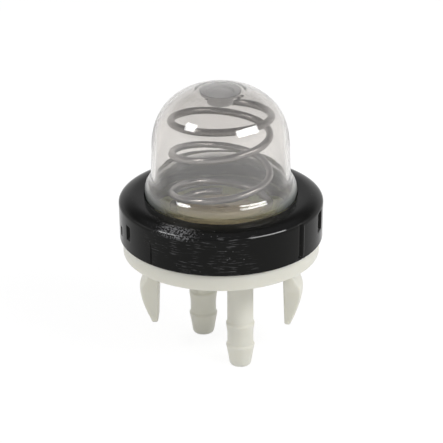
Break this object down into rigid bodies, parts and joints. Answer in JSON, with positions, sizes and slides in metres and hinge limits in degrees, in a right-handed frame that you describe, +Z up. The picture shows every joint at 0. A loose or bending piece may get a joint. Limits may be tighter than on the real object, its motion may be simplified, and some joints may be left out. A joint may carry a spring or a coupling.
{
  "type": "primer bulb",
  "caption": "Snap-in fuel primer bulb: clear elastic dome with a return spring, black retaining ring, and a milky base with barbed hose nipples and snap legs.",
  "frame": {"origin": "centre of the flange's underside, in the plane that sits on the panel", "axes": "+Z up through the middle of the dome; the two snap legs stand on the X axis; the inlet nipple lies on the -Y side"},
  "size_m": [0.022, 0.022, 0.0307],
  "materials": {
    "milky_nylon": "natural milky nylon, slightly see-through, satin",
    "black_plastic": "glossy black with fine scuffs",
    "clear_elastomer": "clear to slightly hazy elastomer, glossy",
    "spring_steel": "bright drawn wire",
    "valve_rubber": "olive fuel-proof rubber, satin"
  },
  "bodies": {
    "root": {"base": "milky_nylon", "retaining_ring": "black_plastic", "dome_bulb": "clear_elastomer", "return_spring": "spring_steel", "check_valve": "valve_rubber"}
  },
  "joints": []
}
